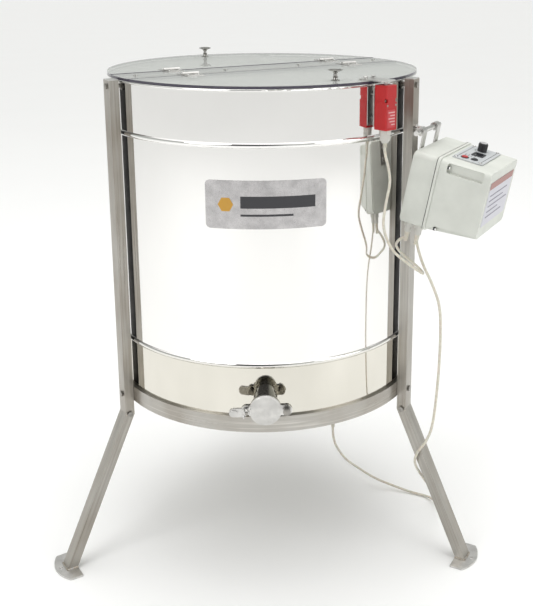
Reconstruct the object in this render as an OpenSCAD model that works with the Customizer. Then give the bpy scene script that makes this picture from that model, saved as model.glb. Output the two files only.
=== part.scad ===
// Motor-driven radial honey extractor: a polished drum on a three-legged stand,
// with a two-leaf clear lid, a honey gate, a lid interlock and a hanging control box.
// Units are millimetres. The origin is on the floor, on the drum's axis.
// Bearings ("az") are measured round the axis from the front (-Y) towards +X.

/* [Drum] */
// Outer radius of the drum wall
drum_r = 325; // [320:1:330]
// Thickness of the drum wall
wall_t = 1.5; // [1:0.25:2]
// Height of the rim that the lid rests on
rim_z = 1029; // [1027:1:1031]
// Height of the upper stiffening bead
upper_bead_z = 924.5; // [900:0.5:940]
// Height of the lower stiffening bead
lower_bead_z = 489.5; // [489:0.5:500]

/* [Stand] */
// Underside of the base ring
ring_z = 351.5; // [350:0.5:353]
// Height of the base ring
ring_h = 33; // [30:1:36]
// Tangential width of the posts and legs
post_w = 30; // [26:1:32]
// Radial depth of the posts and legs
post_d = 20; // [18:1:22]
// Distance of the posts' centres from the axis
post_r = 341.5; // [341.5:0.5:343]
// Height of the knee, where a leg meets its post
knee_z = 323.5; // [315:0.5:330]
// Distance of the foot of a leg from the axis
foot_r = 486; // [470:1:500]
// Distance of the foot bolts from the axis
foot_bolt_r = 506; // [504:1:510]

/* [Lid] */
// Radius of the lid
lid_r = 327; // [326:0.5:329]
// Thickness of the lid sheet
lid_t = 5; // [4:0.5:6]
// Half width of the fixed strip between the two lid leaves
strip_half = 44.5; // [40:0.5:50]
// Bearing of the front lid knob
knob_az = 30; // [28:1:32]
// Distance of the lid knobs from the axis
knob_r = 278; // [260:1:290]

/* [Gate] */
// Height of the honey gate's centre
gate_z = 418.5; // [416:0.5:424]
// Outer radius of the gate pipe
pipe_r = 24; // [22:0.5:25]
// Distance of the blade's front face from the axis
gate_front = 372; // [370:0.5:380]

/* [Cage] */
// Outer radius of the cage
cage_r = 292; // [280:1:295]
// Number of frames that the cage takes
frames = 20; // [20]

/* [Control box] */
// Width of the box along its hanging rod
box_w = 185; // [180:1:190]
// Height of the box
box_h = 147; // [140:1:150]
// Depth of the box
box_d = 158; // [150:1:165]
// Tilt of the box against the post
box_tilt = 11.5; // [11:0.5:12]

/* [Hidden] */
$fn = 96;

STEEL = [0.62, 0.60, 0.56];
POLISHED = [0.86, 0.86, 0.84];
ACRYLIC = [0.80, 0.84, 0.80];
RED = [0.75, 0.12, 0.12];
PALE = [0.88, 0.89, 0.85];
CREAM = [0.88, 0.85, 0.75];
BLACK = [0.08, 0.08, 0.09];

gap = 0.3;                                  // between bodies that only pass each other
run = 0.05;                                 // radial clearance of a running fit
POST_AZ = [-60, 60, 180];
inner_r = drum_r - wall_t;
bead_r = 6;
post_top = 1029;
tube_t = 2;
splay = atan((foot_r - post_r) / (knee_z - 4));
leg_len = (foot_r - post_r) / sin(splay) + 20;
plate_t = 4;
bolt_r = 4;
bolt_head_r = 5.2;
bolt_head_h = 3.2;
upper_bolt_z = 1017;
lower_bolt_z = 367;

lid_z = rim_z + gap;                        // underside of the moving lid leaves
lid_top = lid_z + lid_t;
seam = strip_half + 1;                      // where a lid leaf begins
hinge_n = strip_half + 0.5;                 // hinge axis, measured from the strip's middle
hinge_z = lid_top + 3.2;
hinge_u = 192;                              // hinges' distance along the strip
hinge_len = 36;
barrel_r = 2.8;
hinge_pin_r = 1.25;

floor_edge_z = 392;
floor_top_z = 455;
shaft_r = 12.5;
pulley_z = 390;
belt_r = 95;
small_belt_r = 20;
motor_x = 150;
motor_r = 42;
web_z = 372;

blade_t = 4;
flange_y = gate_front - blade_t - 0.6;      // front face of the fixed flange
pivot_x = 41;
stud_x = -36;

switch_az = 41.8;
switch_w = 31;
switch_r0 = 334.5;                            // inner face of the switch
switch_mid = switch_r0 + switch_w / 2;
switch_z0 = 943;
switch_split = 996;
switch_z1 = 1028;
slot_floor = 1008;

rod_r = 378;                                // hanging rod's distance from the axis
rod_z = 931;
rod_rad = 5;
strap_t = 3;                                // thickness of the hooks
hook_r = rod_rad + gap + strap_t;
box_z = 757;                                // height of the box's lower rear edge
// That edge's distance from the axis, with the hooks' straps flat on the rear face.
box_r = rod_r - ((rod_z - box_z) * sin(box_tilt) - hook_r) / cos(box_tilt);
box_x0 = -80;
base_d = 50;
lip_d = 5;
box_wall = 3;
panel_x = 24;
panel_n = 95;
panel_t = 1.8;
cover_top = box_h - 1;
pocket_n = 72;                              // seam-side end of the cover's screw pockets
GLANDS = [[-60, 17], [-60, 39], [60, 31]];  // interlock lead, motor lead, mains lead
KNOB = [60, 93];
START = [-19, 84, 14.8, 10.8];              // place on the panel, then the cap's size
STOP = [-17, 103, 12.8, 8.8];
stem_r = 3;

lead_r = 2.8;                               // radius of both leads
// Interlock lead: from the switch's gland, down and round a slack loop to the box.
INTERLOCK_ROUTE = [
    [233, -261, 917], [234, -262, 897], [241, -266, 866], [243, -270, 838],
    [236, -276, 802], [231, -281, 765], [238, -273, 732], [255, -264, 700],
    [281, -265, 677], [301, -268, 663], [313, -259, 653], [316, -245, 650],
    [311, -230, 654], [292, -218, 669], [274, -211, 684], [266, -212, 699],
    [272, -221, 713], [282, -231, 721], [285, -234, 733]];
// Motor lead: down from the box, round the right leg, over the floor to the motor.
MOTOR_ROUTE = [
    [304, -245, 729], [303, -245, 711], [314, -251, 672], [334, -262, 628],
    [347, -269, 588], [351, -272, 535], [350, -271, 440], [344, -261, 332],
    [336, -236, 276], [320, -216, 235], [318, -208, 207], [333, -190, 172],
    [355, -158, 128], [380, -98, 62], [393, -42, 16], [382, -8, 5], [345, 14, 5],
    [300, 36, 12], [257, 48, 27], [223, 46, 52],
    [190, 30, 86], [167, 3, 130], [156, -26, 168], [151, -52, 205], [150, -62, 240]];

// ---------- helpers ----------

// Turns a piece drawn at the front (-Y) to a bearing round the axis.
module at_az(az) { rotate([0, 0, az]) children(); }

// A cylinder along -Y, from distance r0 to r1 from the axis.
module radial_pin(r0, r1, rad, x = 0, z = 0) {
    translate([x, -r0, z]) rotate([90, 0, 0]) cylinder(r = rad, h = r1 - r0);
}

// A flat tube ring.
module ring(r0, r1, z0, z1) {
    translate([0, 0, z0]) linear_extrude(z1 - z0) difference() { circle(r1); circle(r0); }
}

// A rounded rectangle whose lower left corner is the origin.
module round_rect(w, h, r) {
    translate([r, 0]) square([w - 2 * r, h]);
    translate([0, r]) square([w, h - 2 * r]);
    for (x = [r, w - r], y = [r, h - r]) translate([x, y]) circle(r);
}

// A bar with round ends along X, centred on the origin.
module stadium(w, h) {
    square([w - h, h], center = true);
    for (s = [-1, 1]) translate([s * (w - h) / 2, 0]) circle(h / 2);
}

// A point on a smooth curve through p, between point i and the next.
function spline(p, i, t) =
    let (a = p[max(i - 1, 0)], b = p[i], c = p[i + 1], d = p[min(i + 2, len(p) - 1)])
    0.5 * (2 * b + (c - a) * t + (2 * a - 5 * b + 4 * c - d) * t * t
           + (3 * b - a - 3 * c + d) * t * t * t);
function smooth(p, n) =
    concat([for (i = [0 : len(p) - 2], k = [0 : n - 1]) spline(p, i, k / n)], [p[len(p) - 1]]);
function unit(v) = v / norm(v);
function heading(p, i) = unit(p[min(i + 1, len(p) - 1)] - p[max(i - 1, 0)]);
// The sideways direction of each ring, carried along so that the tube never twists.
function carry(side, dir) = unit(side - (side * dir) * dir);
function sides(p, i = 0, last = [1, 0, 0], out = []) =
    i == len(p) ? out
    : let (s = carry(last, heading(p, i))) sides(p, i + 1, s, concat(out, [s]));

// A tube of radius r swept along the points p.
module tube(p, r, n = 8) {
    side = sides(p);
    pts = [for (i = [0 : len(p) - 1])
           let (d = heading(p, i), s = side[i], u = cross(d, s))
           for (k = [0 : n - 1]) p[i] + r * (cos(360 * k / n) * s + sin(360 * k / n) * u)];
    last = (len(p) - 1) * n;
    walls = [for (i = [0 : len(p) - 2], k = [0 : n - 1])
             [i * n + k, (i + 1) * n + k, (i + 1) * n + (k + 1) % n, i * n + (k + 1) % n]];
    ends = [[for (k = [0 : n - 1]) k], [for (k = [n - 1 : -1 : 0]) last + k]];
    polyhedron(pts, concat(walls, ends));
}

// ---------- drum ----------

module bolt_holes(rad = bolt_r + 0.2) {
    for (a = POST_AZ, z = [upper_bolt_z, lower_bolt_z])
        at_az(a) radial_pin(310, 360, rad, z = z);
}

module drum_shell() color(POLISHED) difference() {
    rotate_extrude($fn = 180) difference() {
        union() {
            translate([inner_r, ring_z + 2]) square([wall_t, rim_z - ring_z - 4]);
            for (z = [lower_bead_z, upper_bead_z])
                translate([drum_r - 2.5, z]) circle(bead_r, $fn = 48);
            translate([drum_r + 0.6, rim_z - 2.4]) circle(2.4, $fn = 32);
        }
        for (z = [lower_bead_z, upper_bead_z])
            translate([drum_r - 2.5, z]) circle(bead_r - wall_t, $fn = 48);
        square([inner_r, rim_z + 1]);
    }
    bolt_holes();
    radial_pin(300, 330, pipe_r + run, z = gate_z);
}

module drum_floor() color(POLISHED) rotate_extrude($fn = 180) {
    polygon([[inner_r - 0.2, floor_edge_z], [inner_r - 0.2, floor_edge_z + 2],
             [45, floor_top_z + 2], [shaft_r + 5.5, floor_top_z + 2],
             [shaft_r + 5.5, floor_top_z + 24], [shaft_r + 0.8, floor_top_z + 24],
             [shaft_r + 0.8, floor_top_z], [45, floor_top_z]]);
}

module base_ring() color(STEEL) difference() {
    ring(drum_r + 0.3, drum_r + 6.3, ring_z, ring_z + ring_h, $fn = 180);
    bolt_holes();
}

// ---------- stand ----------

// The half space below the mitre of the knee.
module below_mitre() {
    translate([0, -post_r, knee_z]) rotate([-splay / 2, 0, 0])
        translate([-60, -100, -600]) cube([120, 200, 600]);
}

module above_mitre() {
    translate([0, -post_r, knee_z]) rotate([-splay / 2, 0, 0])
        translate([-60, -100, 0]) cube([120, 200, 800]);
}

module tube_section() {
    difference() {
        square([post_w, post_d], center = true);
        square([post_w - 2 * tube_t, post_d - 2 * tube_t], center = true);
    }
}

module knee_hole(rad) {
    translate([-40, -post_r, knee_z]) rotate([0, 90, 0]) cylinder(r = rad, h = 80);
}

module post(az) at_az(az) color(STEEL) difference() {
    translate([0, -post_r, knee_z - 10]) linear_extrude(post_top - knee_z + 10) tube_section();
    below_mitre();
    for (z = [upper_bolt_z, lower_bolt_z]) radial_pin(320, 360, bolt_r + 0.2, z = z);
    knee_hole(bolt_r + 0.2);
}

// A splayed leg, solid at its top, with a spigot that stands up inside the post.
module leg(az) at_az(az) color(STEEL) difference() {
    union() {
        difference() {
            translate([0, -post_r, knee_z]) rotate([-splay, 0, 0]) {
                translate([0, 0, -leg_len]) linear_extrude(leg_len + 20) tube_section();
                translate([-post_w / 2 + 1, -post_d / 2 + 1, -45])
                    cube([post_w - 2, post_d - 2, 65]);
            }
            above_mitre();
            translate([-60, -600, -60]) cube([120, 300, 60 + plate_t]);
        }
        difference() {
            translate([-post_w / 2 + tube_t + gap, -post_r - post_d / 2 + tube_t + gap, knee_z - 12])
                cube([post_w - 2 * tube_t - 2 * gap, post_d - 2 * tube_t - 2 * gap, 48]);
            below_mitre();
        }
    }
    knee_hole(bolt_r + 0.2);
}

module foot_plates() color(STEEL) for (a = POST_AZ) at_az(a)
    linear_extrude(plate_t) difference() {
        intersection() {
            translate([0, -(foot_r - 45)]) circle(76);
            translate([0, -(foot_r - 4)]) circle(50);
            translate([-47, -(foot_r + 40)]) square([94, 52]);
        }
        translate([0, -foot_bolt_r]) circle(4);
    }

module post_caps() color(STEEL) for (a = POST_AZ) at_az(a) {
    translate([0, -post_r, post_top]) linear_extrude(1.5) translate([-post_w / 2, -post_d / 2])
        round_rect(post_w, post_d, 1.5);
    translate([-post_w / 2 + tube_t + gap, -post_r - post_d / 2 + tube_t + gap, post_top - 5])
        cube([post_w - 2 * tube_t - 2 * gap, post_d - 2 * tube_t - 2 * gap, 6]);
}

// One through bolt with its head on the post's outer face and its nut in the drum.
module post_bolt(z, spacer) {
    radial_pin(318, post_r + post_d / 2, bolt_r, z = z);
    radial_pin(post_r + post_d / 2, post_r + post_d / 2 + bolt_head_h, bolt_head_r, z = z);
    radial_pin(316.5, inner_r - 0.6, 7.5, z = z);
    if (spacer) difference() {
        radial_pin(drum_r + 4, post_r - post_d / 2 - 0.1, 9, z = z);
        radial_pin(drum_r, post_r, bolt_r + 0.2, z = z);
    }
}

module stand_bolts() color(POLISHED) for (a = POST_AZ) at_az(a) {
    post_bolt(upper_bolt_z, true);
    post_bolt(lower_bolt_z, false);
    translate([0, -post_r, knee_z]) rotate([0, 90, 0]) {
        cylinder(r = bolt_r, h = post_w + 2 * bolt_head_h, center = true);
        for (s = [0, 1]) mirror([0, 0, s]) translate([0, 0, post_w / 2])
            cylinder(r = bolt_head_r, h = bolt_head_h);
    }
}

// ---------- drive under the drum ----------

module drive_bridge() color(STEEL) difference() {
    intersection() {
        union() {
            translate([-330, -70, web_z]) cube([660, 140, 5]);
            for (y = [-70, 66]) translate([-330, y, ring_z + 3]) cube([660, 4, 21]);
        }
        cylinder(r = inner_r - run, h = 500, $fn = 180);
    }
    translate([0, 0, 350]) cylinder(r = 20, h = 40);
    translate([motor_x, 0, 350]) cylinder(r = 12, h = 40);
}

module lower_bearing() color(STEEL) difference() {
    union() {
        translate([0, 0, web_z - 6]) cylinder(r = 45, h = 6);
        translate([0, 0, 342]) cylinder(r = 28, h = 28);
        for (k = [0 : 3]) rotate([0, 0, 45 + 90 * k]) translate([36, 0, web_z - 12])
            cylinder(r = 5, h = 7);
    }
    translate([0, 0, 330]) cylinder(r = shaft_r + run, h = 60);
}

module motor_body() color([0.25, 0.27, 0.28]) difference() {
    translate([motor_x, 0, 0]) {
        translate([-45, -45, web_z - 6]) cube([90, 90, 6]);
        translate([0, 0, 248]) cylinder(r = motor_r, h = 119);
        translate([0, 0, 236]) cylinder(r = motor_r - 4, h = 14);
        for (k = [0 : 23]) rotate([0, 0, 15 * k]) translate([motor_r - 1, -1, 256])
            cube([4, 2, 96]);
    }
    translate([motor_x, 0, 350]) cylinder(r = 7 + run, h = 40);
}

module terminal_box() color([0.20, 0.21, 0.22]) {
    difference() {
        translate([motor_x - 25, -75, 262]) cube([50, 41, 60]);
        translate([motor_x, 0, 200]) cylinder(r = motor_r + 3.1, h = 200);
    }
    translate([motor_x, -62, 250]) cylinder(r = 9, h = 12, $fn = 6);
    translate([motor_x, -62, 240]) cylinder(r = 7, h = 11);
}

// The outline of a belt round both pulleys, at the radii given.
module belt_outline(big, small) {
    hull() {
        circle(big);
        translate([motor_x, 0]) circle(small);
    }
}

module drive_belt() color(BLACK) translate([0, 0, pulley_z + 4]) linear_extrude(14)
    difference() {
        belt_outline(belt_r + gap + 3, small_belt_r + gap + 3);
        belt_outline(belt_r + gap, small_belt_r + gap);
    }

module pulley(groove, bore) {
    rotate_extrude() polygon([[bore, 0], [groove + 5, 0], [groove + 5, 3], [groove, 3],
                              [groove, 19], [groove + 5, 19], [groove + 5, 22], [bore, 22]]);
}

module drive_pulley() color([0.7, 0.7, 0.72]) translate([0, 0, pulley_z]) {
    difference() {
        pulley(belt_r, shaft_r + run);
        for (k = [0 : 5]) rotate([0, 0, 60 * k]) translate([55, 0, -1]) cylinder(r = 18, h = 40);
    }
    ring(shaft_r + run, 24, -6, 30);
}

module motor_pulley() color([0.7, 0.7, 0.72]) translate([motor_x, 0, 0]) {
    translate([0, 0, pulley_z]) pulley(small_belt_r, 5);
    translate([0, 0, 358]) cylinder(r = 7, h = 58);
}

// ---------- cage ----------

module cage_shaft() color(POLISHED) {
    translate([0, 0, 338]) cylinder(r = shaft_r, h = 672);
    ring(shaft_r - 1, 18, web_z + gap, pulley_z - 7);
}

// A spider of the cage: hub, inner and outer rings, spokes and frame guides.
module spider(z, hub_h, guide_h) {
    step = 360 / frames;
    ring(shaft_r + run, 24, z - hub_h / 3, z + hub_h * 2 / 3);
    ring(70, 76, z, z + 8);
    ring(cage_r - 8, cage_r, z, z + 8, $fn = 180);
    for (k = [0 : 4]) rotate([0, 0, step / 2 + 72 * k]) translate([20, -5, z + 1])
        cube([cage_r - 24, 10, 6]);
    for (k = [0 : frames - 1]) rotate([0, 0, step * k]) {
        for (s = [-1, 1]) translate([cage_r - 5, 17 * s, z + 7])
            cylinder(r = 2.5, h = guide_h, $fn = 24);
        rotate([0, 0, step / 2]) translate([73, 0, z + 7])
            cylinder(r = 2.5, h = guide_h, $fn = 24);
    }
}

module lower_spider() color(POLISHED) spider(486, 18, 18);
module upper_spider() color(POLISHED) spider(940, 18, 22);

module cage_rods() color(POLISHED) for (k = [0 : frames - 1])
    rotate([0, 0, 360 / frames * (k + 0.5)]) translate([cage_r - 4, 0, 494])
        cylinder(r = 3, h = 446, $fn = 24);

// ---------- top beam and lid ----------

// Draws in the lid's own frame: X runs along the strip, -Y towards the front knob.
module in_lid_frame() { rotate([0, 0, knob_az]) children(); }

module cross_beam() color(STEEL) in_lid_frame() difference() {
    intersection() {
        union() {
            translate([-330, -30, rim_z - 3]) cube([660, 60, 3]);
            for (y = [-30, 27]) translate([-330, y, rim_z - 32]) cube([660, 3, 31]);
        }
        cylinder(r = inner_r - run, h = 1100, $fn = 180);
    }
    for (u = [-290, -90, 90, 290]) translate([u, 0, rim_z - 10]) cylinder(r = 2.2, h = 20);
}

module upper_bearing() color(STEEL) difference() {
    union() {
        translate([0, 0, rim_z - 9]) cylinder(r = 26, h = 6);
        translate([0, 0, rim_z - 36]) cylinder(r = 22, h = 30);
    }
    translate([0, 0, rim_z - 40]) cylinder(r = shaft_r + run, h = 26);
}

module centre_strip() color(ACRYLIC) in_lid_frame() translate([0, 0, rim_z])
    linear_extrude(lid_t) difference() {
        intersection() {
            circle(lid_r, $fn = 180);
            square([2 * lid_r + 2, 2 * strip_half], center = true);
        }
        for (u = [-290, -90, 90, 290]) translate([u, 0]) circle(2.2);
    }

module strip_screws() color(POLISHED) in_lid_frame() for (u = [-290, -90, 90, 290])
    translate([u, 0, 0]) {
        translate([0, 0, rim_z + lid_t]) cylinder(r = 4.5, h = 2.2);
        translate([0, 0, rim_z - 8]) cylinder(r = 2, h = 8 + lid_t);
    }

module lid_panel() color(ACRYLIC) translate([0, 0, lid_z]) linear_extrude(lid_t) difference() {
    circle(lid_r, $fn = 180);
    translate([-lid_r - 1, -seam]) square([2 * lid_r + 2, lid_r * 2 + 2]);
    translate([0, -knob_r]) circle(2.7);
}

module lid_knob() color(POLISHED) translate([0, -knob_r, 0]) {
    translate([0, 0, lid_top]) rotate_extrude() polygon(
        [[0, 0], [8.5, 0], [8.5, 1.2], [4.6, 2.4], [4, 4.6], [5.4, 6.6], [3.6, 9], [3.4, 13],
         [6, 16.5], [13.6, 19.5], [14, 21], [9, 22.3], [0, 23]]);
    translate([0, 0, lid_z - 6]) cylinder(r = 2.5, h = 12);
    translate([0, 0, lid_z - 4]) cylinder(r = 5.5, h = 4);
}

// Where a hinge's tubes lie along its pin, as [start, length]: the middle third is fixed.
function tubes(moving) =
    let (third = hinge_len / 3)
    moving ? [[-hinge_len / 2, third - gap], [third / 2 + gap, third - gap]] : [[-third / 2, third]];

// Barrels of one hinge.
module barrels(u, moving) {
    for (s = tubes(moving)) translate([u + s[0], -hinge_n, hinge_z]) rotate([0, 90, 0])
        difference() {
            cylinder(r = barrel_r, h = s[1], $fn = 32);
            translate([0, 0, -1]) cylinder(r = hinge_pin_r + run, h = s[1] + 2, $fn = 32);
        }
}

// Tongues that join one hinge's barrels to its leaf.
module tongues(u, moving, z) {
    dir = moving ? -1 : 1;
    for (s = tubes(moving)) translate([u + s[0], -hinge_n + (moving ? -5 : 0), z])
        cube([s[1], 5, 1.3]);
    translate([u - hinge_len / 2, -hinge_n + dir * 4 + (moving ? -22 : 0), z])
        cube([hinge_len, 22, 1.3]);
    for (x = [-11, 11]) translate([u + x, -hinge_n + dir * 16, z + 1.2])
        cylinder(r = 3, h = 1, $fn = 24);
}

module moving_leaves() color(POLISHED) for (u = [-hinge_u, hinge_u]) {
    barrels(u, true);
    tongues(u, true, lid_top);
}

module fixed_hinge_leaves() color(POLISHED) in_lid_frame()
    for (turn = [0, 180], u = [-hinge_u, hinge_u]) rotate([0, 0, turn]) {
        barrels(u, false);
        tongues(u, false, rim_z + lid_t);
    }

module hinge_pins() color(POLISHED) in_lid_frame()
    for (turn = [0, 180], u = [-hinge_u, hinge_u]) rotate([0, 0, turn])
        translate([u - hinge_len / 2 - 0.5, -hinge_n, hinge_z]) rotate([0, 90, 0])
            cylinder(r = hinge_pin_r, h = hinge_len + 1, $fn = 32);

module front_lid_panel() in_lid_frame() lid_panel();
module front_lid_knob() in_lid_frame() lid_knob();
module front_hinge_leaves() in_lid_frame() moving_leaves();
module rear_lid_panel() in_lid_frame() rotate([0, 0, 180]) lid_panel();
module rear_lid_knob() in_lid_frame() rotate([0, 0, 180]) lid_knob();
module rear_hinge_leaves() in_lid_frame() rotate([0, 0, 180]) moving_leaves();

// ---------- lid interlock ----------

// The key on the lid, whose tongue drops into the switch's head.
module interlock_key() color(STEEL) at_az(switch_az) {
    translate([-20, -switch_mid - 6, lid_top]) cube([40, switch_mid + 6 - 298, 2.5]);
    translate([-4, -switch_mid - 1.5, slot_floor + 5]) cube([8, 3, lid_top - slot_floor - 3]);
    for (x = [-11, 11]) translate([x, -308, lid_top + 2]) cylinder(r = 4, h = 2.6);
}

module switch_bracket() color(STEEL) at_az(switch_az) {
    translate([-15, -switch_r0, 948]) cube([30, 2.5, 74]);
    for (z = [962, 1008]) radial_pin(drum_r + 0.3, switch_r0 - 1, 5, z = z);
}

module switch_body() color(RED) at_az(switch_az) difference() {
    translate([-switch_w / 2, -switch_r0 - switch_w, switch_z0])
        linear_extrude(switch_split - switch_z0) round_rect(switch_w, switch_w - gap, 2);
    translate([0, -switch_r0 - switch_w - 1, switch_z0 + 22]) rotate([-90, 0, 0])
        linear_extrude(1.6) translate([-12, -18]) square([24, 36]);
}

module switch_head() color(RED) at_az(switch_az) difference() {
    translate([-switch_w / 2 + 1, -switch_r0 - switch_w, switch_split])
        linear_extrude(switch_z1 - switch_split) round_rect(switch_w - 2, switch_w - gap, 2);
    translate([-6, -switch_mid - 5, slot_floor]) cube([12, 10, 40]);
    for (x = [-switch_w / 2 - 1, switch_w / 2 - 5])
        translate([x, -switch_r0 - switch_w - 1, switch_split - 1]) cube([6, 6, 8]);
}

module switch_gland() color(PALE) at_az(switch_az) translate([0, -switch_mid, 0]) {
    translate([0, 0, switch_z0 - 9]) cylinder(r = 11.5, h = 9, $fn = 6);
    translate([0, 0, 921]) cylinder(r = 9.5, h = 14);
    translate([0, 0, 917]) cylinder(r = 7, h = 5);
}

// ---------- name plate ----------

module name_plate() color([0.75, 0.75, 0.74]) rotate([0, 0, 1]) intersection() {
    ring(drum_r + 0.1, drum_r + 0.9, 700, 900, $fn = 180);
    translate([-114, -300, 766]) rotate([90, 0, 0]) linear_extrude(60) round_rect(228, 93, 9);
}

// ---------- honey gate ----------

module gate_pipe() color(POLISHED) difference() {
    union() {
        radial_pin(310, flange_y - 4, pipe_r, z = gate_z);
        radial_pin(flange_y - 18, flange_y - 4, pipe_r + 1.8, z = gate_z);
    }
    radial_pin(300, 420, pipe_r - 2.5, z = gate_z);
    cylinder(r = inner_r, h = 600, $fn = 180);
}

module lug_outline(x, r) {
    translate([x, 0]) circle(r);
    translate([min(x, 0), -r]) square([abs(x), 2 * r]);
}

module gate_flange() color(STEEL) translate([0, -flange_y + 4, gate_z]) rotate([90, 0, 0])
    difference() {
        linear_extrude(4) difference() {
            union() { circle(31); lug_outline(pivot_x, 10.5); lug_outline(stud_x, 10.5); }
            circle(pipe_r - 2.5);
            translate([pivot_x, 0]) circle(4 + run);
            translate([stud_x, 0]) circle(3 + run);
        }
        translate([0, 0, 2.2]) linear_extrude(3) difference() { circle(27.2); circle(23.2); }
    }

module gate_seal() color(BLACK) translate([0, -flange_y + 1.8, gate_z]) rotate([90, 0, 0])
    linear_extrude(2.1) difference() { circle(27); circle(23.4); }

module gate_bolts() color(POLISHED) {
    radial_pin(flange_y - 8, gate_front + 0.6, 4, pivot_x, gate_z);
    radial_pin(gate_front + 0.5, gate_front + 5.5, 6.5, pivot_x, gate_z);
    radial_pin(flange_y - 8, flange_y - 4.2, 6.5, pivot_x, gate_z);
    radial_pin(flange_y - 8, gate_front + 13, 3, stud_x, gate_z);
    radial_pin(flange_y - 8, flange_y - 4.2, 5.5, stud_x, gate_z);
}

// The blade turns about the right-hand bolt; its slot lifts off the stud.
module gate_blade() color(STEEL) translate([0, -gate_front + blade_t, gate_z]) rotate([90, 0, 0])
    linear_extrude(blade_t) difference() {
        union() {
            circle(31);
            lug_outline(pivot_x, 10.5);
            lug_outline(stud_x, 11);
            translate([-53, -4]) stadium(34, 18);
        }
        translate([pivot_x, 0]) circle(4 + run);
        translate([stud_x, 0]) circle(4.4);
        translate([stud_x - 4.4, -30]) square([8.8, 30]);
    }

module thumb_nut() color(POLISHED) difference() {
    union() {
        radial_pin(gate_front + 0.6, gate_front + 2.6, 8, stud_x, gate_z);
        radial_pin(gate_front + 2, gate_front + 10, 5.5, stud_x, gate_z);
        translate([stud_x, -gate_front - 5, gate_z]) rotate([90, 0, 0]) rotate([0, 0, 60])
            linear_extrude(4) stadium(28, 8);
    }
    radial_pin(gate_front - 1, gate_front + 14, 3 + run, stud_x, gate_z);
}

// ---------- control box ----------

// Draws in the box's frame: X along the rod, -Y outwards, Z up its tilted rear face,
// from the lower rear edge.
module in_box_frame() {
    at_az(60) translate([0, -box_r, box_z]) rotate([box_tilt, 0, 0]) children();
}

// A slab of the box at depth n, inset from the box's outline.
module slab(n, t, side, bottom, top, rad) {
    translate([box_x0 + side, -n, bottom]) rotate([90, 0, 0]) linear_extrude(t)
        round_rect(box_w - 2 * side, box_h - bottom - top, rad, $fn = 32);
}

module box_base() color(PALE) in_box_frame() difference() {
    union() {
        slab(0, 3, 4, 4, 4, 8);
        slab(2.5, base_d - 2.5, 0.5, 0.5, 0.5, 10);
        slab(base_d - 2.5, 2.5, -1.5, -1.5, -1.5, 10);
    }
    slab(box_wall, base_d, box_wall + 4, box_wall + 4, box_wall + 4, 7);
    for (g = GLANDS) translate([g[0], -g[1], -1]) cylinder(r = 6, h = 12);
}

// A rounded hollow in a side of the cover: from x and height z, and from the seam to depth n.
module pocket(x, z, n, h) {
    translate([x, -n, z]) rotate([90, 0, 90]) linear_extrude(13) round_rect(n - pocket_n, h, 4, $fn = 24);
}

module box_cover() color(PALE) in_box_frame() difference() {
    union() {
        slab(base_d, 1.5, 0, 0, 0, 10);
        slab(base_d + 1.5, lip_d, -1.5, -1.5, -1.5, 10);
        hull() {
            slab(base_d + lip_d, 1, 1, 1, 1, 9);
            slab(box_d - 2, 2, 5, 12, 2, 9);
        }
    }
    slab(base_d - 1, box_d - base_d - box_wall, 14, 16, 6, 6);
    // screw pockets along the top and bottom of both sides
    for (x = [box_x0 - 3, box_x0 + box_w - 10]) {
        pocket(x, 123, 145, 20);
        pocket(x, -6, 155, 20);
    }
    // seats of the knob's and the buttons' stems, and wells for the buttons' caps
    for (p = [KNOB, START, STOP]) translate([p[0], -p[1], box_h - 20])
        cylinder(r = stem_r + run, h = 30);
    for (b = [START, STOP]) translate([b[0], -b[1], cover_top - 3]) linear_extrude(9)
        stadium(b[2] + 2 * gap, b[3] + 2 * gap);
}

// Draws on the cover's top face, at x and depth n, raised by z.
module on_panel(x, n, z = 0) { in_box_frame() translate([x, -n, cover_top + z]) children(); }

module panel_plate() color([0.72, 0.76, 0.80]) difference() {
    on_panel(panel_x - 62, panel_n + 31) linear_extrude(panel_t) round_rect(124, 62, 3);
    on_panel(KNOB[0], KNOB[1], -5) cylinder(r = stem_r + run, h = 12);
    for (b = [START, STOP]) on_panel(b[0], b[1], -5) linear_extrude(12)
        stadium(b[2] + 2 * gap, b[3] + 2 * gap);
    on_panel(25, 98, 1) translate([-11, -9, 0]) cube([22, 18, 5]);
}

module display_window() color([0.05, 0.06, 0.07]) on_panel(25, 98, 1.05)
    translate([-10.8, -8.8, 0]) cube([21.6, 17.6, 1.3]);

module box_screws() color([0.3, 0.3, 0.3]) {
    for (x = [panel_x - 56, panel_x + 56], n = [panel_n - 25, panel_n + 25])
        on_panel(x, n, panel_t) cylinder(r = 3.2, h = 1.6);
    in_box_frame() for (x = [box_x0 + 6, box_x0 + box_w - 6], z = [133, 7])
        translate([x, -pocket_n, z]) rotate([90, 0, 0]) cylinder(r = 3.2, h = 4);
}

// Two bent straps: bolted to the rear face and curled over the rod.
module box_hooks() color(POLISHED) in_box_frame() {
    rod_h = (rod_r - box_r) * sin(box_tilt) + (rod_z - box_z) * cos(box_tilt);
    for (x = [-33, 43]) translate([x - 9, 0, 0]) {
        translate([0, 0, 96]) cube([18, strap_t, rod_h - 96]);
        translate([0, hook_r, rod_h]) rotate([0, 90, 0]) difference() {
            cylinder(r = hook_r, h = 18);
            translate([0, 0, -1]) cylinder(r = rod_rad + gap, h = 20);
            translate([0, 0.5, -1]) cube([30, 30, 20]);
        }
        for (z = [108, 132]) translate([9, strap_t, z]) rotate([-90, 0, 0]) cylinder(r = 4, h = 2.2);
    }
}

module box_glands() color(PALE) in_box_frame() for (g = GLANDS) translate([g[0], -g[1], 0]) {
    translate([0, 0, -8]) cylinder(r = 9.5, h = 8.4, $fn = 6);
    translate([0, 0, -20]) cylinder(r = 6.5, h = 13);
    translate([0, 0, -1]) cylinder(r = 5.8, h = 9);
}

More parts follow.
